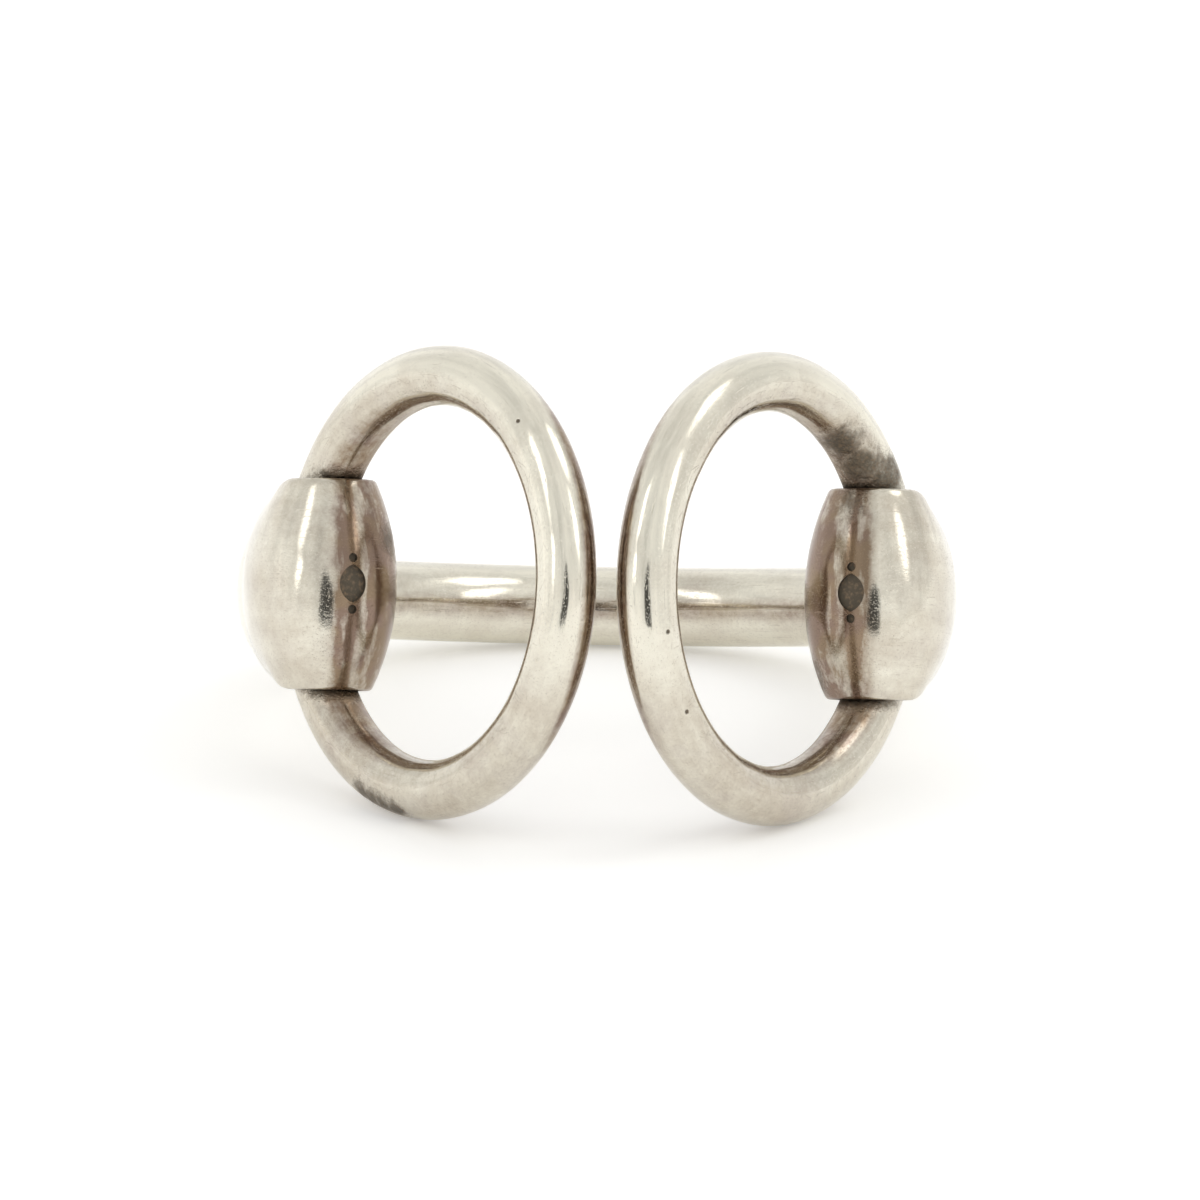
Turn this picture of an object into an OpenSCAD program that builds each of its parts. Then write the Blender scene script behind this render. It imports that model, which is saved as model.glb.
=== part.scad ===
// Silver ring in the form of a horse's bit, lying on its side as it rests on a table.
// Millimetres, +Z up. The ring's front, where the two loops nearly meet, faces -Y.
// The origin is at the middle of the underside of the ring's outer box.

/* [Finger hole] */
// Width across the hole that the finger goes through
finger_d = 16.5; // [15:0.5:22]

/* [Band] */
// Thickness of the round wire round the back
band_wire_d = 2.4; // [2:0.1:2.8]
// Angle from the front at which the wire starts to grow taller
flare_tall_start = 128; // [110:1:135]
// Angle from the front at which the wire starts to grow thicker
flare_thick_start = 80; // [72:1:95]
// Angle over which the butt's flat faces fade into the flare's oval shape
face_fade = 12; // [6:1:20]

/* [Butts] */
// Angle from the front to the upright axis of each butt
butt_angle = 50.4; // [48:0.2:56]
// Height of a butt between its flat faces
butt_h = 6.1; // [5.4:0.1:6.6]
// Width of a butt at its middle
butt_mid_d = 4; // [3.8:0.02:4.4]
// Width of a butt's flat end faces
butt_end_d = 2.64; // [2.3:0.02:2.9]

/* [Loops] */
// Outside width of a loop
loop_d = 13.56; // [13:0.02:14.4]
// Thickness of a loop's round wire
loop_wire_d = 1.72; // [1.5:0.02:1.76]
// Gap between the two loops at the front
front_gap = 0.55; // [0.3:0.05:1.5]
// Gap all round a loop's wire inside the curved hole in its butt
hole_gap = 0.05; // [0.03:0.01:0.08]

/* [Mark] */
// Angle of the sunk mark on its butt, from straight ahead towards the middle
mark_angle = 22; // [10:1:35]
// Height of the pointed oval
mark_h = 1.1; // [0.8:0.1:1.4]
// Width of the pointed oval
mark_w = 0.8; // [0.5:0.02:0.9]
// Width of the dot above and below it
mark_dot_d = 0.26; // [0.2:0.02:0.3]
// Depth of the mark below the widest point of the butt
mark_depth = 0.18; // [0.12:0.01:0.24]

/* [Hidden] */

$fn = 96;
finger_r = finger_d / 2;

// Band
band_wire_r = band_wire_d / 2;
band_r = finger_r + band_wire_r;

// Butts: the side is an arc from the end face over the middle to the other end face
butt_mid_r = butt_mid_d / 2;
butt_end_r = butt_end_d / 2;
butt_half = butt_h / 2;
butt_sag = butt_mid_r - butt_end_r;
butt_side_r = (butt_half * butt_half + butt_sag * butt_sag) / (2 * butt_sag);
butt_reach = finger_r + butt_mid_r;
butt_x = butt_reach * sin(butt_angle);
butt_front = butt_reach * cos(butt_angle);

// Loops: each wire runs through the middle of both end faces of its butt
loop_wire_r = loop_wire_d / 2;
loop_r = loop_d / 2 - loop_wire_r;
loop_chord = sqrt(loop_r * loop_r - butt_half * butt_half);
loop_slant = acos((butt_x - front_gap / 2 - loop_wire_r) / (loop_chord + loop_r));
loop_x = butt_x - loop_chord * cos(loop_slant);
loop_front = butt_front + loop_chord * sin(loop_slant);

// Flares: the first ring of points just holds the round wire, which ends inside it
flare_rings = 16;
ring_crowding = 1.5;
front_rings = 6;
ring_points = 32;
side_share = 0.75;
flare_span = flare_tall_start - butt_angle;
wire_lap = 2;
flare_wire_r = (band_wire_r + 0.01) / cos(180 / ring_points);

// Mark
mark_dot_up = mark_h / 2 + mark_dot_d * 0.75;
mark_side_r = (mark_h * mark_h + mark_w * mark_w) / (4 * mark_w);

// Resting place: the ring stands on both loops and on the back of its band.
// The lowest point of the loops and of the band, when the front is raised by an angle:
function loops_low(tilt) = loop_front * sin(tilt)
    - loop_r * sqrt(1 - pow(cos(loop_slant) * sin(tilt), 2)) - loop_wire_r;
function band_low(tilt) = -band_r * sin(tilt) - band_wire_r;
function level_tilt(low, high, steps) = let (mid = (low + high) / 2)
    steps == 0 ? mid
    : loops_low(mid) > band_low(mid) ? level_tilt(low, mid, steps - 1)
    : level_tilt(mid, high, steps - 1);

rest_tilt = level_tilt(0, 45, 40);
rest_low = band_low(rest_tilt);
rest_back = band_r * cos(rest_tilt) + band_wire_r;
rest_front = loop_front * cos(rest_tilt) + loop_wire_r
    + loop_r * sqrt(1 - pow(cos(loop_slant) * cos(rest_tilt), 2));
rest_mid = (rest_front - rest_back) / 2;

// From upright round the finger to lying on the table
module at_rest() {
    translate([0, rest_mid, -rest_low]) rotate([-rest_tilt, 0, 0]) children();
}

// The right side is drawn, and the left side is its mirror image
module both_sides() {
    children();
    mirror([1, 0, 0]) children();
}

module at_butt() {
    translate([butt_x, -butt_front, 0]) children();
}

module ring_of_wire(centre_r, wire_r) {
    rotate_extrude() translate([centre_r, 0]) circle(r = wire_r);
}

module at_loop() {
    translate([loop_x, -loop_front, 0]) rotate([90, 0, loop_slant]) children();
}

// A quick start and a gentle end, from 0 to 1
function ease(share) = share <= 0 ? 0 : share >= 1 ? 1 : share * share * (3 - 2 * share);

// Half width of a butt at a height above its middle
function butt_half_width(height) =
    butt_mid_r - butt_side_r + sqrt(butt_side_r * butt_side_r - height * height);

// A quarter of a butt's outline as [half width, height]: up its side, then in along its end face
function butt_quarter(turn) = let (share = turn / 90 / side_share)
    share < 1
    ? let (height = butt_half * sin(90 * share)) [butt_half_width(height), height]
    : [butt_end_r * (1 - turn / 90) / (1 - side_share), butt_half];

// The whole outline, by mirroring the quarter
function butt_outline(turn) = let (
    quarter = turn <= 90 ? turn : turn <= 180 ? 180 - turn : turn <= 270 ? turn - 180 : 360 - turn,
    point = butt_quarter(quarter))
    [turn > 90 && turn < 270 ? -point[0] : point[0], turn > 180 ? -point[1] : point[1]];

// One ring of the flare, at an angle from the front: an oval that turns into the butt's outline.
// Its inner side stays on the finger hole.
function flare_ring(angle) = let (
    taller = ease((flare_tall_start - angle) / (flare_tall_start - butt_angle)),
    thicker = ease((flare_thick_start - angle) / (flare_thick_start - butt_angle)),
    like_butt = ease((butt_angle + face_fade - angle) / face_fade),
    half_w = flare_wire_r + (butt_mid_r - flare_wire_r) * thicker,
    half_h = flare_wire_r + (butt_half - flare_wire_r) * taller,
    centre_r = band_r + (butt_reach - band_r) * thicker)
    [for (i = [0 : ring_points - 1]) let (
        turn = 360 * i / ring_points,
        outline = butt_outline(turn),
        reach = centre_r + half_w * (cos(turn) * (1 - like_butt) + outline[0] / butt_mid_r * like_butt),
        up = half_h * (sin(turn) * (1 - like_butt) + outline[1] / butt_half * like_butt))
        [reach * sin(angle), -reach * cos(angle), up]];

// One ring of the butt's round front: both halves of its outline, turned towards each other
function front_ring(fold) = [for (i = [0 : ring_points - 1]) let (
    outline = butt_outline(360 * i / ring_points),
    heading = butt_angle + (is_inner(i) ? fold : -fold))
    [butt_x + outline[0] * sin(heading), -butt_front - outline[0] * cos(heading), outline[1]]];

// Is a ring's point on the half that faces the finger?
function is_inner(i) = i > ring_points / 4 && i < ring_points * 3 / 4;

// A flared end with its butt: rings of points from the wire's end to the butt's front,
// where the last ring is folded shut and its two halves share their points
module flared_butt() {
    rings = [
        for (k = [0 : flare_rings])
            flare_ring(butt_angle + flare_span * pow(1 - k / flare_rings, ring_crowding)),
        for (k = [1 : front_rings]) front_ring(90 * k / front_rings)];
    last = len(rings) - 1;
    function number(k, i) = k * ring_points
        + (k == last && is_inner(i) ? ring_points / 2 - i + ring_points : i) % ring_points;
    wire_end = [for (i = [0 : ring_points - 1]) i];
    sides = [for (k = [0 : last - 1], i = [0 : ring_points - 1]) let (next = (i + 1) % ring_points)
        each [
            [number(k, i), number(k + 1, i), number(k + 1, next)],
            [number(k, i), number(k + 1, next), number(k, next)]]];
    polyhedron([for (ring = rings) each ring], concat([wire_end], sides));
}

// The wire round the back. Its ends run a little way into the flares.
module back_wire() {
    start = flare_tall_start - wire_lap;
    rotate([0, 0, start - 90]) rotate_extrude(angle = 360 - 2 * start)
        translate([band_r, 0]) circle(r = band_wire_r, $fn = 48);
}

// A pointed oval with a dot above and below
module mark_outline() {
    intersection_for (side = [-1, 1])
        translate([side * (mark_side_r - mark_w / 2), 0]) circle(r = mark_side_r);
    for (side = [-1, 1])
        translate([0, side * mark_dot_up]) circle(d = mark_dot_d, $fn = 32);
}

module mark_cut() {
    rotate([0, 0, -mark_angle]) translate([0, -butt_mid_r - 1, 0]) rotate([-90, 0, 0])
        linear_extrude(1 + mark_depth) mark_outline();
}

module band() {
    color("silver") at_rest() difference() {
        union() {
            back_wire();
            both_sides() flared_butt();
        }
        both_sides() at_loop() ring_of_wire(loop_r, loop_wire_r + hole_gap);
        both_sides() at_butt() mark_cut();
    }
}

module loop() {
    at_loop() ring_of_wire(loop_r, loop_wire_r);
}

module loop_left() {
    color("gainsboro") at_rest() mirror([1, 0, 0]) loop();
}

module loop_right() {
    color("gainsboro") at_rest() loop();
}

band();
loop_left();
loop_right();
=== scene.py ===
"""Silver ring in the form of a horse's bit, lying on its side on a pale table."""

from math import acos, asin, cos, pi, radians, sin, sqrt

import bmesh
import bpy
from mathutils import Matrix, Vector


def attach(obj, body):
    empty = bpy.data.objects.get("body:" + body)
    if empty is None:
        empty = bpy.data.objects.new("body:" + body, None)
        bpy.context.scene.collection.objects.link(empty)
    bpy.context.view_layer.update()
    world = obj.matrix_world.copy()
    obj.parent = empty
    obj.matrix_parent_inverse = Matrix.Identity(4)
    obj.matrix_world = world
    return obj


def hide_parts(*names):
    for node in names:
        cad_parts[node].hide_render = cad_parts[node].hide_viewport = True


bl_info = {
    "name": "Silver Bit Ring",
    "version": (1, 0, 0),
    "blender": (4, 5, 0),
    "location": "3D View > Sidebar > Ring",
    "description": "Makes a silver ring with two butts and two wire loops, its aged finish and its stage",
    "category": "Object",
}

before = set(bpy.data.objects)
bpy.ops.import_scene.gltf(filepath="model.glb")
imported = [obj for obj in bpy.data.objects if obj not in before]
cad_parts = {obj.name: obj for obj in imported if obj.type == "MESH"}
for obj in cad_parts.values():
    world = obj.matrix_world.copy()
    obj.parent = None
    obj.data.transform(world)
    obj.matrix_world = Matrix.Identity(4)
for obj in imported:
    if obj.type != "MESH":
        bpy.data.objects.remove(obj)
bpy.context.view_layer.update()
BODY = "root"
MM = 0.001
# Points nearer to each other than this are one point
SAME_POINT = 1e-7


def length(name, description, default):
    """A property for a size in metres."""
    return bpy.props.FloatProperty(
        name=name, description=description, default=default, min=0.0, unit="LENGTH", precision=5)


def angle(name, description, degrees):
    """A property for an angle, given here in degrees."""
    return bpy.props.FloatProperty(
        name=name, description=description, default=radians(degrees), subtype="ANGLE", unit="ROTATION")


def share(name, description, default, high=1.0):
    """A property for a share or a strength."""
    return bpy.props.FloatProperty(name=name, description=description, default=default, min=0.0, max=high)


def colour(name, description, default):
    """A property for a colour."""
    return bpy.props.FloatVectorProperty(
        name=name, description=description, default=default, subtype="COLOR", size=3, min=0.0, max=1.0)


class RingSizes(bpy.types.PropertyGroup):
    """The ring's own dimensions, as in its construction."""
    finger_width: length("Finger hole", "Width of the hole that the finger goes through", 16.5 * MM)
    band_wire: length("Band wire", "Thickness of the round wire round the back", 2.4 * MM)
    tall_start: angle("Taller from", "Angle from the front where the wire starts to grow taller", 128)
    thick_start: angle("Thicker from", "Angle from the front where it starts to grow thicker", 80)
    face_fade: angle("Face fade", "Angle over which the butt's flat faces fade into the flare", 12)
    butt_angle: angle("Butt place", "Angle from the front to each butt's upright axis", 50.4)
    butt_height: length("Butt height", "Height of a butt between its flat faces", 6.1 * MM)
    butt_middle: length("Butt middle", "Width of a butt at its middle", 4.0 * MM)
    butt_end: length("Butt end", "Width of a butt's flat end faces", 2.64 * MM)
    butt_edge: length("Butt edge", "Radius of the worn edge round an end face", 0.16 * MM)
    loop_width: length("Loop", "Outside width of a loop", 13.56 * MM)
    loop_wire: length("Loop wire", "Thickness of a loop's round wire", 1.72 * MM)
    front_gap: length("Front gap", "Gap between the two loops at the front", 0.55 * MM)
    hole_gap: length("Hole gap", "Gap round a loop's wire in its hole", 0.05 * MM)
    unevenness: length("Unevenness", "How far the hand-worked wire strays from round", 0.012 * MM)


class MarkSizes(bpy.types.PropertyGroup):
    """The sunk mark on each butt."""
    turn: angle("Place", "Angle of the mark on its butt, towards the middle", 22)
    height: length("Oval height", "Height of the pointed oval", 1.1 * MM)
    width: length("Oval width", "Width of the pointed oval", 0.8 * MM)
    dot: length("Dots", "Width of the dot above and below", 0.26 * MM)
    depth: length("Depth", "Depth below the widest point of the butt", 0.18 * MM)


class SilverLook(bpy.types.PropertyGroup):
    """Colours and wear of the silver."""
    clean: colour("Clean silver", "Colour of the polished metal", (0.80, 0.768, 0.665))
    filmed: colour("Filmed silver", "Colour where a thin film has settled", (0.665, 0.605, 0.515))
    # The tarnish and violet colours also paint the reflections, highlights and shade that the wear masks
    # carry
    tarnish: colour("Tarnish", "Colour of the brown tarnish", (0.28, 0.205, 0.14))
    violet: colour("Violet tarnish", "Colour of the tarnish where it is thicker", (0.255, 0.182, 0.142))
    grime: colour("Grime", "Colour of the thick dark tarnish in corners", (0.125, 0.107, 0.082))
    polish: share("Roughness", "Roughness of the polished metal", 0.06)
    wear: share("Scratches", "Strength of the fine scratches", 1.0)


class StageLook(bpy.types.PropertyGroup):
    """The table, the light and the camera."""
    floor: colour("Table", "Colour of the table", (0.97, 0.97, 0.97))
    glow: share("Table's own light", "How much light comes through the table from below", 0.2)
    light: share("Light", "Strength of the light from all round", 1.08, 10.0)
    front: share("Front light", "How bright the tent is overhead and in front, as a share of its back", 0.80)
    folds: share("Tent folds", "How much the tent's brightness changes from fold to fold", 0.9, 2.0)
    softbox: share("Softboxes", "Brightness that the softboxes add to the tent", 1.5, 100.0)
    front_up: angle("Front height", "Angle above the table of the middle of the tent's front", 14.3)
    distance: length("Camera distance", "From the camera to the ring's middle", 300 * MM)
    frame_width: length("Frame", "Width that the picture shows at the ring's middle", 35.5 * MM)
    turn: angle("Camera turn", "How far the camera is turned round the ring", -1.04)
    lean: angle("Camera lean", "How far the camera is below the ring's own plane", 1.70)
    roll: angle("Camera roll", "How far the camera is rolled", -1.03)
    across: length("Camera across", "How far the camera is moved to its right", 0.10 * MM)
    down: length("Camera down", "How far the camera is moved down", 0.10 * MM)


# Each softbox: its angle round from the camera and its angle up, in degrees, and half its width and
# half its height at a distance of 1
SOFTBOXES = (
    (-52, 17, 0.1, 0.12),
    (-57, 42, 0.1, 0.26),
    (58, 34, 0.12, 0.24),
    (98, 57, 0.22, 0.18),
)

# The dark opening for the camera is an egg-shaped space at a distance of 1 towards it: how high its
# middle is, half its width, half its height, half its depth, and how much of the light it takes away
OPENING_UP = 0.12
OPENING_WIDE = 0.2
OPENING_TALL = 0.26
OPENING_DEEP = 0.9
OPENING_DARK = 0.92

WHITE = (1.0, 1.0, 1.0)
WARM_WHITE = (1.0, 0.995, 0.975)
TABLE_HALF = 1.5


class Ring:
    """Places and sizes that follow from the driving dimensions, with the ring upright round a finger."""

    def __init__(self, sizes):
        self.sizes = sizes
        self.finger_r = sizes.finger_width / 2
        self.wire_r = sizes.band_wire / 2
        self.band_r = self.finger_r + self.wire_r
        self.half = sizes.butt_height / 2
        self.mid_r = sizes.butt_middle / 2
        self.end_r = sizes.butt_end / 2
        sag = self.mid_r - self.end_r
        self.side_r = (self.half ** 2 + sag ** 2) / (2 * sag)
        self.reach = self.finger_r + self.mid_r
        self.butt_x = self.reach * sin(sizes.butt_angle)
        self.butt_front = self.reach * cos(sizes.butt_angle)
        self.loop_wire_r = sizes.loop_wire / 2
        self.loop_r = sizes.loop_width / 2 - self.loop_wire_r
        self.chord = sqrt(self.loop_r ** 2 - self.half ** 2)
        across = self.butt_x - sizes.front_gap / 2 - self.loop_wire_r
        self.slant = acos(across / (self.chord + self.loop_r))
        self.loop_x = self.butt_x - self.chord * cos(self.slant)
        self.loop_front = self.butt_front + self.chord * sin(self.slant)
        self.tilt = self.level()
        back = self.band_r * cos(self.tilt) + self.wire_r
        turned = cos(self.slant) * cos(self.tilt)
        front = self.loop_front * cos(self.tilt) + self.loop_r * sqrt(1 - turned ** 2) + self.loop_wire_r
        self.place = Vector((0, (front - back) / 2, -self.band_low(self.tilt)))

    def band_low(self, tilt):
        return -self.band_r * sin(tilt) - self.wire_r

    def loops_low(self, tilt):
        turned = cos(self.slant) * sin(tilt)
        return self.loop_front * sin(tilt) - self.loop_r * sqrt(1 - turned ** 2) - self.loop_wire_r

    def level(self, halvings=40):
        """The tilt at which both loops and the back of the band touch the table."""
        low, high = 0.0, pi / 4
        for _ in range(halvings):
            middle = (low + high) / 2
            if self.loops_low(middle) > self.band_low(middle):
                high = middle
            else:
                low = middle
        return (low + high) / 2

    def at_rest(self):
        """From upright round a finger to lying on the table."""
        return Matrix.Translation(self.place) @ Matrix.Rotation(-self.tilt, 4, "X")

    def butt_at(self, side):
        return Vector((side * self.butt_x, -self.butt_front, 0))

    def loop_at(self, side):
        """A loop's place: its circle drawn flat, stood up and slanted."""
        return (Matrix.Translation((side * self.loop_x, -self.loop_front, 0))
                @ Matrix.Rotation(side * self.slant, 4, "Z") @ Matrix.Rotation(pi / 2, 4, "X"))


def ease(part):
    """A gentle start and a gentle end, from 0 to 1."""
    part = min(max(part, 0.0), 1.0)
    return part * part * (3 - 2 * part)


# The band's mesh: outlines swept round the finger


# Points round an outline, and the shares of them on a butt's sides and on its worn edges
POINTS = 96
SIDE_SHARE = 0.66
EDGE_SHARE = 0.12
# The power by which the flare's outlines crowd towards the butt
CROWDING = 1.5


def butt_quarter(ring, part):
    """A quarter of a butt's outline, as half width and height: side, worn edge, end face."""
    edge = ring.sizes.butt_edge
    middle = ring.mid_r - ring.side_r
    edge_x = middle + sqrt((ring.side_r - edge) ** 2 - (ring.half - edge) ** 2)
    rise = asin((ring.half - edge) / (ring.side_r - edge))
    if part < SIDE_SHARE:
        up = rise * part / SIDE_SHARE
        return middle + ring.side_r * cos(up), ring.side_r * sin(up)
    if part < SIDE_SHARE + EDGE_SHARE:
        up = rise + (pi / 2 - rise) * (part - SIDE_SHARE) / EDGE_SHARE
        return edge_x + edge * cos(up), ring.half - edge + edge * sin(up)
    left = (1 - part) / (1 - SIDE_SHARE - EDGE_SHARE)
    return edge_x * left, ring.half


def butt_outline(ring):
    """The whole outline, once round, as shares of the half width and the half height."""
    quarter = POINTS // 4
    outline = []
    for i in range(POINTS):
        leg, step = divmod(i, quarter)
        part = step / quarter if leg % 2 == 0 else 1 - step / quarter
        half_width, height = butt_quarter(ring, part)
        if leg in (1, 2):
            half_width = -half_width
        if leg in (2, 3):
            height = -height
        outline.append((half_width / ring.mid_r, height / ring.half))
    return outline


def band_ring(ring, outline, heading):
    """One outline of the band at an angle from the front: round wire, oval flare or butt."""
    sizes = ring.sizes
    away = abs(heading)
    taller = ease((sizes.tall_start - away) / (sizes.tall_start - sizes.butt_angle))
    thicker = ease((sizes.thick_start - away) / (sizes.thick_start - sizes.butt_angle))
    like_butt = ease((sizes.butt_angle + sizes.face_fade - away) / sizes.face_fade)
    half_width = ring.wire_r + (ring.mid_r - ring.wire_r) * thicker
    half_height = ring.wire_r + (ring.half - ring.wire_r) * taller
    points = []
    for i, (out, up) in enumerate(outline):
        turn = 2 * pi * i / POINTS
        out = cos(turn) * (1 - like_butt) + out * like_butt
        up = sin(turn) * (1 - like_butt) + up * like_butt
        reach = ring.finger_r + half_width * (1 + out)
        points.append(Vector((reach * sin(heading), -reach * cos(heading), half_height * up)))
    return points


def front_ring(ring, outline, side, fold):
    """One outline of the butt's round front: its two halves turned towards each other."""
    points = []
    for out, up in outline:
        heading = side * (ring.sizes.butt_angle + (fold if out < 0 else -fold))
        offset = Vector((sin(heading), -cos(heading), 0)) * out * ring.mid_r
        points.append(ring.butt_at(side) + offset + Vector((0, 0, up * ring.half)))
    return points


def band_rings(ring, flare_steps=110, back_steps=104, front_steps=24):
    """Every outline, from the left butt's front round the back to the right butt's front."""
    outline = butt_outline(ring)
    sizes = ring.sizes
    folds = [pi / 2 * k / front_steps for k in range(1, front_steps + 1)]
    span = sizes.tall_start - sizes.butt_angle
    flare = [sizes.butt_angle + span * (k / flare_steps) ** CROWDING for k in range(flare_steps + 1)]
    back_span = 2 * (pi - sizes.tall_start)
    back = [sizes.tall_start + back_span * k / back_steps for k in range(1, back_steps)]
    rings = [front_ring(ring, outline, -1, fold) for fold in reversed(folds)]
    rings += [band_ring(ring, outline, -heading) for heading in flare]
    rings += [band_ring(ring, outline, -heading if heading < pi else 2 * pi - heading) for heading in back]
    rings += [band_ring(ring, outline, heading) for heading in reversed(flare)]
    rings += [front_ring(ring, outline, 1, fold) for fold in folds]
    return rings


def mesh_from_rings(name, rings):
    """A closed mesh through rings of points, whose folded ends are merged shut."""
    shape = bmesh.new()
    rows = [[shape.verts.new(point) for point in points] for points in rings]
    for row, after in zip(rows, rows[1:]):
        for i in range(len(row)):
            following = (i + 1) % len(row)
            shape.faces.new((row[i], row[following], after[following], after[i]))
    bmesh.ops.remove_doubles(shape, verts=shape.verts, dist=SAME_POINT)
    bmesh.ops.recalc_face_normals(shape, faces=shape.faces)
    mesh = bpy.data.meshes.new(name)
    shape.to_mesh(mesh)
    shape.free()
    return mesh


def new_object(name, mesh):
    made = bpy.data.objects.new(name, mesh)
    bpy.context.scene.collection.objects.link(made)
    return made


def plain_copy(made, name):
    """A new object with the mesh that another one's modifiers give. The other is removed."""
    bpy.context.view_layer.update()
    graph = bpy.context.evaluated_depsgraph_get()
    mesh = bpy.data.meshes.new_from_object(made.evaluated_get(graph))
    bpy.data.objects.remove(made)
    mesh.name = name
    return new_object(name, mesh)


# Wire loops: one node tree bends round wire into a slanted circle


# Points round a loop and round its wire, and how many rises and dips of the wire fit in a metre
LOOP_POINTS = 320
WIRE_POINTS = 56
UNEVEN_SCALE = 420.0


def loop_tree():
    """A node tree for one loop of round wire."""
    tree = bpy.data.node_groups.new("Wire loop", "GeometryNodeTree")
    sockets = (
        ("Loop Radius", "NodeSocketFloat"), ("Wire Radius", "NodeSocketFloat"),
        ("Place", "NodeSocketVector"), ("Slant", "NodeSocketFloat"),
        ("Unevenness", "NodeSocketFloat"), ("Seed", "NodeSocketFloat"),
        ("Silver", "NodeSocketMaterial"))
    for name, kind in sockets:
        tree.interface.new_socket(name, in_out="INPUT", socket_type=kind)
    tree.interface.new_socket("Geometry", in_out="OUTPUT", socket_type="NodeSocketGeometry")
    nodes = Nodes(tree)
    given = tree.nodes.new("NodeGroupInput").outputs
    path = nodes.add("GeometryNodeCurvePrimitiveCircle", None, {
        "Resolution": LOOP_POINTS, "Radius": given["Loop Radius"]})
    wire = nodes.add("GeometryNodeCurvePrimitiveCircle", None, {
        "Resolution": WIRE_POINTS, "Radius": given["Wire Radius"]})
    tube = nodes.add("GeometryNodeCurveToMesh", None, {"Curve": path, "Profile Curve": wire})
    spot = nodes.add("GeometryNodeInputPosition")
    noise = nodes.add("ShaderNodeTexNoise", {"noise_dimensions": "4D"}, {
        "Vector": spot, "W": given["Seed"], "Scale": UNEVEN_SCALE, "Detail": 1.0}, "Fac")
    normal = nodes.add("GeometryNodeInputNormal")
    stray = nodes.add("ShaderNodeVectorMath", {"operation": "SCALE"}, {
        "Vector": normal, "Scale": (noise - 0.5) * 2 * Value(nodes, given["Unevenness"])})
    tube = nodes.add("GeometryNodeSetPosition", None, {"Geometry": tube, "Offset": stray})
    turn = nodes.add("ShaderNodeCombineXYZ", None, {"X": pi / 2, "Y": 0.0, "Z": given["Slant"]})
    tube = nodes.add("GeometryNodeTransform", None, {
        "Geometry": tube, "Translation": given["Place"], "Rotation": turn})
    tube = nodes.add("GeometryNodeSetShadeSmooth", None, {"Geometry": tube})
    tube = nodes.add("GeometryNodeRealizeInstances", None, {"Geometry": tube})
    tube = nodes.add("GeometryNodeSetMaterial", None, {"Geometry": tube, "Material": given["Silver"]})
    out = tree.nodes.new("NodeGroupOutput")
    tree.links.new(tube.socket, out.inputs["Geometry"])
    return tree


def run_tree(name, tree, values):
    """An object whose mesh a node tree makes from named values."""
    made = new_object(name, bpy.data.meshes.new(name))
    modifier = made.modifiers.new("Made", "NODES")
    modifier.node_group = tree
    names = {item.name: item.identifier for item in tree.interface.items_tree}
    for key, value in values.items():
        modifier[names[key]] = value
    return plain_copy(made, name)


# Expressions for node trees


# A Mix node's sockets when it mixes colours: the amount and the two colours, and the result
MIX_INPUTS = (0, 6, 7)
MIX_RESULT = 2


class Value:
    """A socket in a node tree. Python's operators on it add Math nodes."""

    def __init__(self, nodes, socket):
        self.nodes = nodes
        self.socket = socket

    def maths(self, operation, *values, clamp=False):
        """A Math node's result, from all its values in order."""
        return self.nodes.add("ShaderNodeMath", {"operation": operation, "use_clamp": clamp},
                              dict(enumerate(values)))

    def __add__(self, other):
        return self.maths("ADD", self, other)

    def __sub__(self, other):
        return self.maths("SUBTRACT", self, other)

    def __mul__(self, other):
        return self.maths("MULTIPLY", self, other)

    def __truediv__(self, other):
        return self.maths("DIVIDE", self, other)

    def __rsub__(self, other):
        return self.maths("SUBTRACT", other, self)

    __radd__ = __add__
    __rmul__ = __mul__

    def clamped(self):
        return self.maths("ADD", self, 0.0, clamp=True)

    def power(self, exponent):
        return self.maths("POWER", self, exponent)

    def size(self):
        return self.maths("ABSOLUTE", self)

    def larger(self, other):
        return self.maths("MAXIMUM", self, other)

    def angle_from(self, other):
        """The angle whose tangent is this over the other, all the way round."""
        return self.maths("ARCTAN2", self, other)

    def from_to(self, start, end):
        """A smooth step: 0 at start, 1 at end."""
        return self.nodes.add("ShaderNodeMapRange", {"interpolation_type": "SMOOTHSTEP"},
                              {"Value": self, "From Min": start, "From Max": end})


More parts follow.
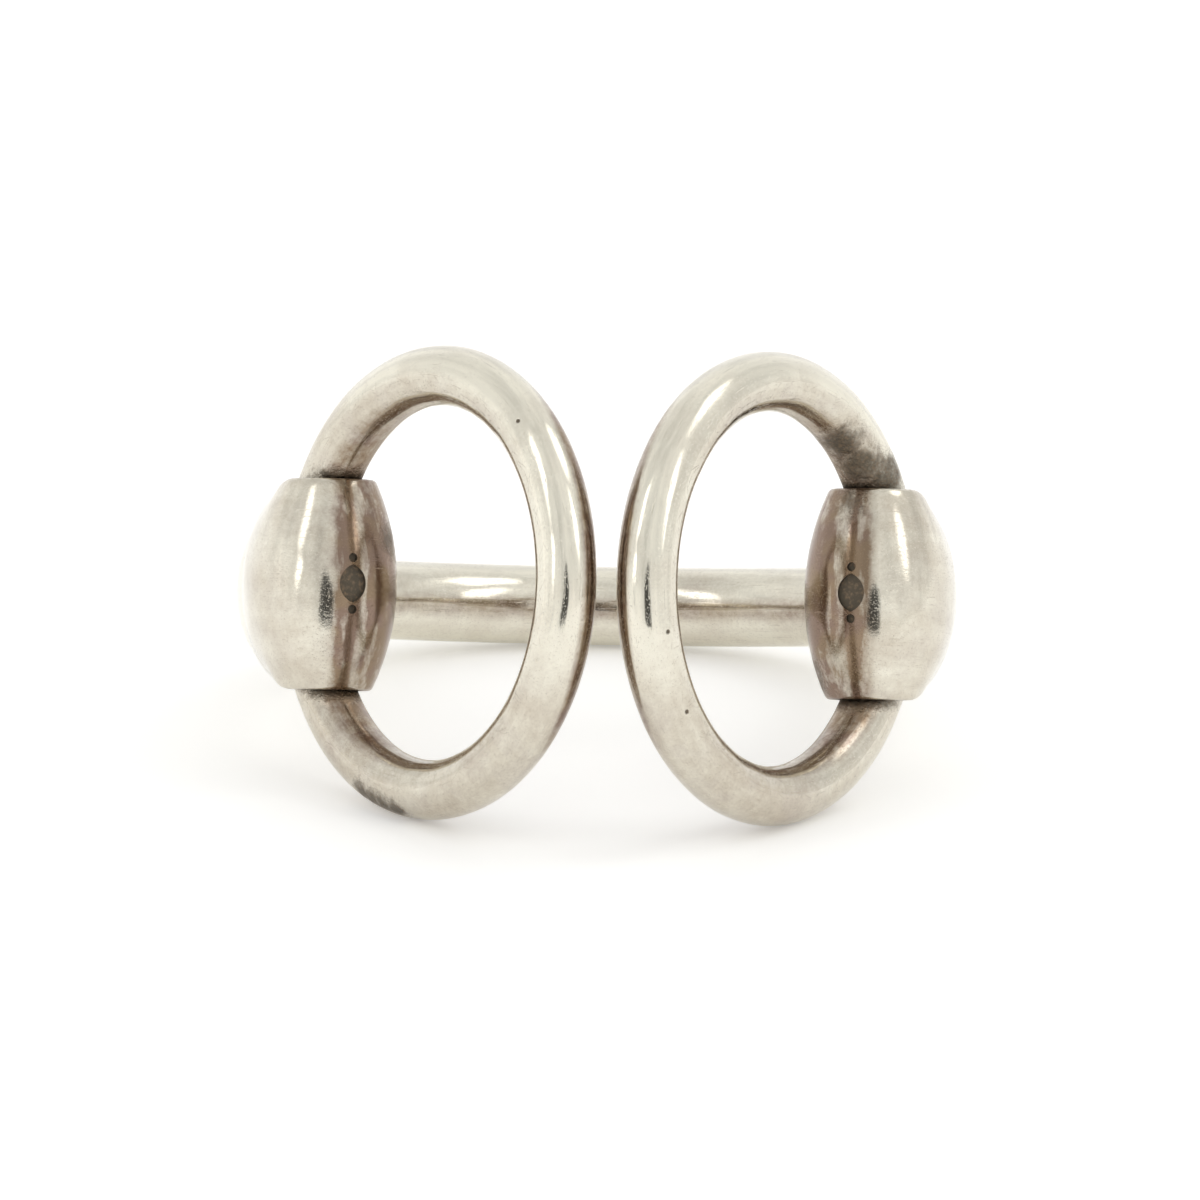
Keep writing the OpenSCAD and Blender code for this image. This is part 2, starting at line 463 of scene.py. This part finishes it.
class Nodes:
    """A node tree that is written as expressions."""

    def __init__(self, tree):
        self.tree = tree

    def add(self, kind, settings=None, inputs=None, output=0):
        """A new node's output, from the node's settings and the values or links of its sockets."""
        node = self.tree.nodes.new(kind)
        for name, value in (settings or {}).items():
            setattr(node, name, value)
        for name, value in (inputs or {}).items():
            if isinstance(value, Value):
                value = value.socket
            if isinstance(value, bpy.types.NodeSocket):
                self.tree.links.new(value, node.inputs[name])
            else:
                node.inputs[name].default_value = value
        return Value(self, node.outputs[output])

    def mix(self, amount, first, second):
        """The second colour laid over the first, by an amount from 0 to 1."""
        given = {number: (*value, 1.0) if isinstance(value, tuple) else value
                 for number, value in zip(MIX_INPUTS, (amount, first, second))}
        return self.add("ShaderNodeMix", {"data_type": "RGBA"}, given, MIX_RESULT)

    def parts(self, vector):
        """A vector's X, Y and Z."""
        split = self.add("ShaderNodeSeparateXYZ", None, {"Vector": vector})
        return [Value(self, socket) for socket in split.socket.node.outputs]

    def noise(self, place, scale, detail, rough, stretch=None, turn=0.0, move=0.0):
        """Noise with so many features to each unit of the place, turned round Z, stretched and moved."""
        if turn:
            place = self.add("ShaderNodeMapping", None, {"Vector": place, "Rotation": (0, 0, turn)})
        if stretch:
            place = self.add("ShaderNodeMapping", None, {
                "Vector": place, "Location": (move, move, move), "Scale": stretch})
        return self.add("ShaderNodeTexNoise", None, {
            "Vector": place, "Scale": scale, "Detail": detail, "Roughness": rough}, "Fac")

    def show(self, kind, shader):
        """Joins a shader to the tree's output."""
        out = self.tree.nodes.new(kind)
        self.tree.links.new(shader.socket, out.inputs["Surface"])


# Finishes


# The fine scratches: how far each set is turned from the brushed lines, and how far its noise is moved
SCRATCHES = ((0.0, 0.0), (0.45, 20.0), (-0.6, 40.0), (1.5, 60.0))

# Where the spots of wear are, as X, Y and Z on the upright ring in millimetres: smudges on the butts,
# grime packed above the right butt, a dark patch under the left loop, and pits in the loops
SMUDGES = ((7.0, -8.1, 2.7), (6.2, -6.9, -2.5), (-6.3, -7.0, 1.3))
PACKED = ((7.4, -7.9, 3.7), (8.2, -7.4, 3.4), (6.8, -8.5, 4.3))
DARK_PATCH = ((-6.95, -9.05, -6.1), (-6.6, -9.4, -6.3), (-6.25, -9.8, -6.45), (-5.9, -10.2, -6.6))
PITS = ((-2.56, -14.56, 4.47), (1.74, -15.77, -1.42), (2.33, -14.99, -3.64))


def new_finish(name):
    """A new material, and its empty node tree."""
    material = bpy.data.materials.new(name)
    material.use_nodes = True
    material.node_tree.nodes.clear()
    return material, Nodes(material.node_tree)


def ring_place(nodes, ring):
    """Object coordinates turned back to the upright ring, in millimetres."""
    back = Matrix.Rotation(ring.tilt, 4, "X") @ (-ring.place / MM)
    seen = nodes.add("ShaderNodeTexCoord", None, None, "Object")
    return nodes.add("ShaderNodeMapping", None, {
        "Vector": seen, "Location": back, "Rotation": (ring.tilt, 0, 0), "Scale": (1 / MM,) * 3})


def distance(*parts):
    """The length of a vector from its parts."""
    total = parts[0] * parts[0]
    for part in parts[1:]:
        total = total + part * part
    return total.power(0.5)


def aged_silver(name, look, ring, wear):
    """Polished silver with a thin film, tarnish, grime, brushed and drawn lines, scratches and pits.

    The wear function gives the direction of the lines, and how much tarnish, grime and pits there are. Its
    tarnish also carries painted reflections, painted highlights and painted shade.
    """
    material, nodes = new_finish(name)
    clean, filmed, brown, violet, black = (
        tuple(tone) for tone in (look.clean, look.filmed, look.tarnish, look.violet, look.grime))
    place = ring_place(nodes, ring)
    grain, tarnish, grime, pits = wear(nodes, place)

    film = nodes.noise(place, 0.5, 4.0, 0.6)
    fine = nodes.noise(place, 3.0, 6.0, 0.65)
    specks = nodes.noise(place, 11.0, 3.0, 0.6)
    soft = nodes.noise(place, 0.6, 1.0, 0.5)
    brushed = nodes.noise(grain, 1.0, 3.0, 0.6, stretch=(0.7, 13, 13))
    drawn = nodes.noise(grain, 1.0, 2.0, 0.5, stretch=(0.13, 1.5, 1.5))
    lines = [nodes.noise(grain, 1.0, 2.0, 0.5, stretch=(0.9, 26, 26), turn=turn, move=move)
             for turn, move in SCRATCHES]
    scratch = largest([line.from_to(0.66, 0.72) for line in lines])

    tarnish = tarnish * (0.25 + fine * 1.15 + brushed * 0.45)
    tarnish = tarnish + (film - 0.6) * 0.3 + (specks - 0.64) * 0.3 + (drawn - 0.5) * 0.5
    tarnish = tarnish.clamped()
    grime = (grime * 1.3 + fine * 1.2 + specks * 0.5 - 1.15).from_to(0.0, 0.95)
    dark = grime.larger(pits)

    base = nodes.mix(film.from_to(0.4, 0.7) * 0.35, clean, filmed)
    base = nodes.mix(scratch * 0.16 * look.wear, base, brown)
    hue = nodes.noise(place, 0.9, 2.0, 0.5).from_to(0.42, 0.6)
    # The tarnish colours also paint the reflections, highlights and shade that the wear functions put into
    # the tarnish
    base = nodes.mix(tarnish, base, nodes.mix(hue, brown, violet))
    crust = nodes.mix(specks.from_to(0.42, 0.66) * 0.5, black, brown)
    base = nodes.mix(dark, base, crust)
    rough = look.polish + film * 0.04 + brushed * 0.05 + scratch * 0.1 * look.wear
    rough = rough + tarnish * 0.05 + dark * 0.33

    height = soft * 0.06 + fine * 0.0015 + brushed * 0.002 - scratch * 0.003 * look.wear
    height = height - pits * 0.02 + grime * fine * 0.05
    normal = nodes.add("ShaderNodeBump", None, {"Strength": 1.0, "Distance": MM, "Height": height})
    shader = nodes.add("ShaderNodeBsdfPrincipled", None, {
        "Base Color": base, "Metallic": 1.0, "Roughness": rough.clamped(), "Normal": normal})
    nodes.show("ShaderNodeOutputMaterial", shader)
    return material


def largest(values):
    """The largest of several values at each point."""
    whole = values[0]
    for value in values[1:]:
        whole = whole.larger(value)
    return whole


def spots(nodes, place, middles, inner, outer):
    """Soft round spots, from full at one distance to nothing at another, in millimetres."""
    far = [nodes.add("ShaderNodeVectorMath", {"operation": "DISTANCE"}, {0: place, 1: middle}, "Value")
           for middle in middles]
    return largest([away.from_to(outer, inner) for away in far])


def band_silver(look, ring):
    """The band and its butts: brown on the butts' inner sides, partly tarnish and partly painted reflection,
    a painted dark reflection line and a painted highlight line up their fronts, dark round the wire on the
    end faces.
    """
    butt_x, butt_front, half = ring.butt_x / MM, ring.butt_front / MM, ring.half / MM
    finger_r, band_r = ring.finger_r / MM, ring.band_r / MM

    def wear(nodes, place):
        x, y, z = nodes.parts(place)
        across = x.size() - butt_x
        along = y + butt_front
        from_axis = distance(across, along)
        from_finger = distance(x, y)
        grain = nodes.add("ShaderNodeCombineXYZ", None, {
            "X": x.angle_from(0 - y) * band_r, "Y": from_finger, "Z": z})

        # Streaky brown on the side of a butt that faces the other butt: partly tarnish and partly a painted
        # reflection of the loops' wire, in streaks of painted dark lines and painted highlights
        inward = (0 - across) / from_axis.larger(0.01)
        near_butt = 1 - from_axis.from_to(2.0, 4.2)
        ahead = (0 - along).from_to(-0.7, 0.5)
        streaks = nodes.noise(place, 2.6, 3.0, 0.6, stretch=(1, 1, 0.14)).from_to(0.36, 0.6)
        brown = inward.from_to(-0.06, 0.25) * (0.5 + streaks * (0.15 + ahead * 0.5))
        brown = brown + inward.from_to(0.6, 1.0) * 0.35

        # Up its front, a painted dark reflection line and a brighter painted highlight line
        wavering = inward + (streaks - 0.5) * 0.05
        painted_reflection_line = 1 - (wavering - 0.38).size().from_to(0.01, 0.09)
        painted_highlight_line = 1 - (wavering - 0.54).size().from_to(0.02, 0.11)
        brown = brown * (1 - z.size().from_to(0.8, 2.4) * 0.35) * (1 - painted_highlight_line * ahead * 0.5)
        brown = brown + painted_reflection_line * ahead * 0.4

        # The side against the finger: tarnish, with a painted dark reflection along a line round it
        inside = 1 - (from_finger - finger_r).from_to(0.1, 1.2)
        line = 1 - (z + 0.15).size().from_to(0.1, 0.5)
        tarnish = ((brown + 0.29) * near_butt).larger(inside * (0.15 + line * 0.5))

        # Grime round the holes in the end faces, and smudges
        face = z.size().from_to(half - 0.25, half - 0.02)
        grime = face * (1 - from_axis.from_to(0.95, 1.5))
        smudges = spots(nodes, place, SMUDGES, 0.1, 1.2)
        return grain, tarnish, grime.larger(smudges * 0.72), 0.0

    return aged_silver("Band silver", look, ring, wear)


def loop_silver(look, ring):
    """The loops: brown inside and where they face each other, darker towards the bottom as a painted shade,
    dark in the corners at the butts.
    """
    butt_x, butt_front, half = ring.butt_x / MM, ring.butt_front / MM, ring.half / MM
    chord, loop_r, wire_r = ring.chord / MM, ring.loop_r / MM, ring.loop_wire_r / MM
    lean_x, lean_y = cos(ring.slant), sin(ring.slant)

    def wear(nodes, place):
        # The place on the wire: out from the loop's middle and back, as shares of the wire's radius
        x, y, z = nodes.parts(place)
        across = x.size() - butt_x
        along = y + butt_front
        from_butt = across * -lean_x + along * -lean_y
        back = (across * -lean_y + along * lean_x) / wire_r
        forward = from_butt - chord
        from_middle = distance(forward, z)
        out = (from_middle - loop_r) / wire_r
        gapwards = out * (forward / from_middle) * lean_x + back * lean_y
        grain = nodes.add("ShaderNodeCombineXYZ", None, {
            "X": z.angle_from(forward) * loop_r,
            "Y": out * wire_r + x.size() * 0.05,
            "Z": back * wire_r})

        # Tarnish inside the loop, behind it, where it faces the other loop and on its lip; darker near the
        # butts, and a painted shade darker towards the bottom
        at_butt = 1 - from_butt.from_to(0.6, 5.0)
        left = x.from_to(1.0, -1.0)
        inner = (0 - out).from_to(0.15, 0.85) * (0.55 + at_butt * 0.45)
        inner = inner.larger((0 - out).from_to(-0.35, 0.3) * (0.2 + z.from_to(2.0, 4.5) * 0.25))
        behind = back.from_to(0.2, 0.9) * 0.6
        facing = (gapwards + left * 0.1).from_to(0.5, 0.8) * forward.from_to(3.3, 5.2)
        facing = facing * (0.72 + left * 0.15)
        lip = (0 - gapwards).from_to(0.86, 0.99) * (0 - out).from_to(0.1, 0.5) * 0.75
        # Painted shade: darker towards the bottom; also darker near the butts, more so on the left loop
        film = at_butt * (0.12 + left * 0.18) + (0 - z).from_to(0.5, 4.6) * (0.42 - at_butt * 0.25)
        tarnish = largest([inner, facing, lip, film, behind])

        # Grime in the corners at the butt, and the spots of this ring's own wear
        corner = 1 - (z.size() - half).from_to(0.02, 0.75)
        grime = corner * (0 - out).from_to(-1.2, 0.5) * at_butt * (0.75 - left * 0.12)
        packed = spots(nodes, place, PACKED, 0.2, 1.3)
        patch = spots(nodes, place, DARK_PATCH, 0.1, 0.85)
        pits = spots(nodes, place, PITS, 0.04, 0.09)
        return grain, tarnish, largest([grime, packed * 0.85, patch * 0.9]), pits

    return aged_silver("Loop silver", look, ring, wear)


def mark_floor(look):
    """The dark finish of the sunk marks and of the holes' walls."""
    material, nodes = new_finish("Oxidised mark")
    place = nodes.add("ShaderNodeTexCoord", None, None, "Object")
    fine = nodes.noise(place, 9000.0, 4.0, 0.6)
    base = nodes.mix(fine.from_to(0.45, 0.75), tuple(look.grime), tuple(look.tarnish))
    normal = nodes.add("ShaderNodeBump", None, {"Strength": 0.6, "Distance": 0.02 * MM, "Height": fine})
    shader = nodes.add("ShaderNodeBsdfPrincipled", None, {
        "Base Color": base, "Metallic": 0.8, "Roughness": fine * 0.3 + 0.4, "Normal": normal})
    nodes.show("ShaderNodeOutputMaterial", shader)
    return material


# Cutting the holes and the marks


# How far the middle of a mark's dot is from the tip of the oval, in widths of the dot
DOT_AWAY = 0.75
# Edges that bend by more than this look sharp
SHARP_BEND = radians(35)


def wire_hole(ring, side, steps=256, points=64):
    """The curved hole that a loop's wire runs through, as a whole circle of slightly thicker wire."""
    hole_r = ring.loop_wire_r + ring.sizes.hole_gap
    turns = [2 * pi * i / points for i in range(points)]
    shape = []
    for k in range(steps):
        heading = 2 * pi * k / steps
        out = Vector((cos(heading), sin(heading), 0))
        shape.append([out * (ring.loop_r + hole_r * cos(turn)) + Vector((0, 0, hole_r * sin(turn)))
                      for turn in turns])
    mesh = mesh_from_rings("hole", shape + shape[:1])
    mesh.transform(ring.loop_at(side))
    return new_object("hole", mesh)


def prism(outline, start, end):
    """A closed prism through an outline of X and Z, from one Y to another."""
    shape = bmesh.new()
    near = [shape.verts.new((x, start, z)) for x, z in outline]
    far = [shape.verts.new((x, end, z)) for x, z in outline]
    count = len(outline)
    shape.faces.new(near)
    shape.faces.new(reversed(far))
    for i in range(count):
        shape.faces.new((near[i], far[i], far[(i + 1) % count], near[(i + 1) % count]))
    bmesh.ops.recalc_face_normals(shape, faces=shape.faces)
    mesh = bpy.data.meshes.new("prism")
    shape.to_mesh(mesh)
    shape.free()
    return mesh


def mark_cutters(ring, mark, side, material, flank_points=20, dot_points=24):
    """The pointed oval and its two dots, as prisms that reach into the butt."""
    side_r = (mark.height ** 2 + mark.width ** 2) / (4 * mark.width)
    half_angle = asin(mark.height / 2 / side_r)
    oval = []
    for flank in (1, -1):
        for k in range(flank_points):
            up = flank * (2 * half_angle * k / flank_points - half_angle)
            oval.append((flank * (mark.width / 2 - side_r + side_r * cos(up)), side_r * sin(up)))
    dot_r = mark.dot / 2
    dot_up = mark.height / 2 + mark.dot * DOT_AWAY
    turns = [2 * pi * k / dot_points for k in range(dot_points)]
    outlines = [oval]
    for place in (-1, 1):
        outlines.append([(dot_r * cos(turn), place * dot_up + dot_r * sin(turn)) for turn in turns])
    cutters = []
    for outline in outlines:
        mesh = prism(outline, -ring.mid_r - MM, -ring.mid_r + mark.depth)
        mesh.materials.append(material)
        mesh.transform(Matrix.Translation(ring.butt_at(side)) @ Matrix.Rotation(-side * mark.turn, 4, "Z"))
        cutters.append(new_object("cutter", mesh))
    return cutters


def close_seams(mesh):
    """Makes triangles of the faces that cuts leave, without slivers, so that each edge has two faces."""
    shape = bmesh.new()
    shape.from_mesh(mesh)
    bmesh.ops.remove_doubles(shape, verts=shape.verts, dist=SAME_POINT)
    bmesh.ops.triangulate(shape, faces=shape.faces, ngon_method="BEAUTY")
    bmesh.ops.dissolve_degenerate(shape, dist=SAME_POINT, edges=shape.edges)
    bmesh.ops.triangulate(shape, faces=shape.faces, ngon_method="BEAUTY")
    shape.to_mesh(mesh)
    shape.free()


def cut(piece, cutters):
    """Takes the cutters' shapes out of a piece, with their own finish on the cut."""
    for cutter in cutters:
        modifier = piece.modifiers.new("Cut", "BOOLEAN")
        modifier.operation = "DIFFERENCE"
        modifier.solver = "EXACT"
        modifier.material_mode = "TRANSFER"
        modifier.object = cutter
    made = plain_copy(piece, piece.name)
    for cutter in cutters:
        bpy.data.objects.remove(cutter)
    close_seams(made.data)
    return made


class RING_OT_band(bpy.types.Operator):
    """Makes the band with its flares and butts, the curved holes and the sunk marks."""
    bl_idname = "ring.make_band"
    bl_label = "Band"

    def execute(self, context):
        scene = context.scene
        ring = Ring(scene.ring_sizes)
        silver = band_silver(scene.silver_look, ring)
        dark = mark_floor(scene.silver_look)
        mesh = mesh_from_rings("silver_band", band_rings(ring))
        mesh.materials.append(silver)
        band = new_object("silver_band", mesh)
        cutters = []
        for side in (-1, 1):
            hole = wire_hole(ring, side)
            hole.data.materials.append(dark)
            cutters.append(hole)
            cutters += mark_cutters(ring, scene.mark_sizes, side, dark)
        band = cut(band, cutters)
        band.data.transform(ring.at_rest())
        for face in band.data.polygons:
            face.use_smooth = True
        band.data.set_sharp_from_angle(angle=SHARP_BEND)
        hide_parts("band")
        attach(band, BODY)
        return {"FINISHED"}


class RING_OT_loops(bpy.types.Operator):
    """Makes the two wire loops that run through the butts."""
    bl_idname = "ring.make_loops"
    bl_label = "Loops"

    def execute(self, context):
        scene = context.scene
        ring = Ring(scene.ring_sizes)
        silver = loop_silver(scene.silver_look, ring)
        tree = loop_tree()
        for side, node, seed in ((-1, "loop_left", 3.0), (1, "loop_right", 8.0)):
            loop = run_tree("silver_" + node, tree, {
                "Loop Radius": ring.loop_r,
                "Wire Radius": ring.loop_wire_r,
                "Place": (side * ring.loop_x, -ring.loop_front, 0.0),
                "Slant": side * ring.slant,
                "Unevenness": ring.sizes.unevenness,
                "Seed": seed,
                "Silver": silver})
            loop.data.transform(ring.at_rest())
            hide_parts(node)
            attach(loop, BODY)
        return {"FINISHED"}


class RING_OT_stage(bpy.types.Operator):
    """Makes the table, the soft light all round and the camera."""
    bl_idname = "ring.make_stage"
    bl_label = "Stage"

    def execute(self, context):
        scene = context.scene
        look = scene.stage_look
        ring = Ring(scene.ring_sizes)
        self.table(look)
        self.light(scene, look)
        self.camera(scene, look, ring)
        scene.view_settings.view_transform = "Standard"
        return {"FINISHED"}

    def table(self, look):
        """A flat pale table, large enough to fill every view."""
        mesh = bpy.data.meshes.new("table")
        corners = [(x * TABLE_HALF, y * TABLE_HALF, 0) for x, y in ((-1, -1), (1, -1), (1, 1), (-1, 1))]
        mesh.from_pydata(corners, [], [(0, 1, 2, 3)])
        material = bpy.data.materials.new("Pale table")
        material.use_nodes = True
        shader = material.node_tree.nodes["Principled BSDF"]
        shader.inputs["Base Color"].default_value = (*look.floor, 1.0)
        shader.inputs["Roughness"].default_value = 0.6
        shader.inputs["Specular IOR Level"].default_value = 0.2
        shader.inputs["Emission Color"].default_value = (*look.floor, 1.0)
        shader.inputs["Emission Strength"].default_value = look.glow
        mesh.materials.append(material)
        new_object("table", mesh)

    def light(self, scene, look):
        """A white light tent, brightest at its back, with folds, softboxes and a dark opening in front.

        The camera itself sees plain white in its place.
        """
        world = bpy.data.worlds.new("Light tent")
        world.use_nodes = True
        world.node_tree.nodes.clear()
        scene.world = world
        nodes = Nodes(world.node_tree)
        seen = nodes.add("ShaderNodeTexCoord", None, None, "Generated")
        x, y, z = nodes.parts(seen)
        front = (z * sin(look.front_up) - y * cos(look.front_up)).from_to(-0.85, -0.3)
        opening = distance(x / OPENING_WIDE, (z - OPENING_UP) / OPENING_TALL, (y + 1) / OPENING_DEEP)
        opening = opening.from_to(1.1, 0.85)
        folds = nodes.noise(seen, 2.4, 2.0, 0.5, stretch=(1, 1, 0.3))
        tent = 1 - front * z.from_to(0.0, 0.4) * (1 - look.front)
        tent = tent * (1 + (folds - 0.5) * look.folds) * (1 - opening * OPENING_DARK)
        for turn, rise, wide, tall in SOFTBOXES:
            tent = tent + self.softbox(nodes, seen, turn, rise, wide, tall) * look.softbox
        shade = nodes.mix(front, WHITE, WARM_WHITE)
        light = nodes.add("ShaderNodeBackground", None, {"Color": shade, "Strength": tent * look.light})
        plain = nodes.add("ShaderNodeBackground", None, {"Color": (*WHITE, 1.0), "Strength": 1.0})
        direct = nodes.add("ShaderNodeLightPath", None, None, "Is Camera Ray")
        mixed = nodes.add("ShaderNodeMixShader", None, {0: direct, 1: light, 2: plain})
        nodes.show("ShaderNodeOutputWorld", mixed)

    def softbox(self, nodes, seen, turn, rise, wide, tall):
        """A bright patch on the tent with a soft edge: 1 in its middle, 0 outside."""
        swing = Matrix.Rotation(radians(turn), 3, "Z") @ Matrix.Rotation(-radians(rise), 3, "X")
        axes = [swing @ Vector(axis) for axis in ((1, 0, 0), (0, -1, 0), (0, 0, 1))]
        across, towards, up = (
            nodes.add("ShaderNodeVectorMath", {"operation": "DOT_PRODUCT"}, {0: seen, 1: axis}, "Value")
            for axis in axes)
        return distance(across / wide, up / tall).from_to(1.4, 0.45) * towards.from_to(0.0, 0.2)

    def camera(self, scene, look, ring):
        """The photo's camera, placed from the upright ring's middle and laid down with the ring."""
        camera = bpy.data.cameras.new("camera")
        camera.sensor_width = 36.0
        camera.lens = camera.sensor_width * look.distance / look.frame_width
        camera.clip_start = 0.01
        stand = bpy.data.objects.new("camera", camera)
        turned = (Matrix.Rotation(look.turn, 4, "Z") @ Matrix.Rotation(look.lean, 4, "X")
                  @ Matrix.Rotation(look.roll, 4, "Y"))
        away = Matrix.Translation((look.across, -look.distance, -look.down))
        stand.matrix_world = ring.at_rest() @ turned @ away @ Matrix.Rotation(pi / 2, 4, "X")
        scene.collection.objects.link(stand)
        scene.camera = stand


class RING_PT_panel(bpy.types.Panel):
    """Lists the operators that make the ring and its stage, with their sizes and looks."""
    bl_idname = "RING_PT_panel"
    bl_label = "Silver Bit Ring"
    bl_space_type = "VIEW_3D"
    bl_region_type = "UI"
    bl_category = "Ring"

    def draw(self, context):
        for operator in OPERATORS:
            self.layout.operator(operator.bl_idname)
        for name in GROUPS:
            box = self.layout.box()
            group = getattr(context.scene, name)
            for key in group.__annotations__:
                box.prop(group, key)


OPERATORS = (RING_OT_stage, RING_OT_band, RING_OT_loops)
GROUPS = {
    "ring_sizes": RingSizes,
    "mark_sizes": MarkSizes,
    "silver_look": SilverLook,
    "stage_look": StageLook,
}
CLASSES = (*GROUPS.values(), *OPERATORS, RING_PT_panel)


def register():
    for made in CLASSES:
        bpy.utils.register_class(made)
    for name, group in GROUPS.items():
        setattr(bpy.types.Scene, name, bpy.props.PointerProperty(type=group))


def unregister():
    for name in GROUPS:
        delattr(bpy.types.Scene, name)
    for made in reversed(CLASSES):
        bpy.utils.unregister_class(made)


def main():
    register()
    bpy.ops.ring.make_stage()
    bpy.ops.ring.make_band()
    bpy.ops.ring.make_loops()


if __name__ == "__main__":
    main()
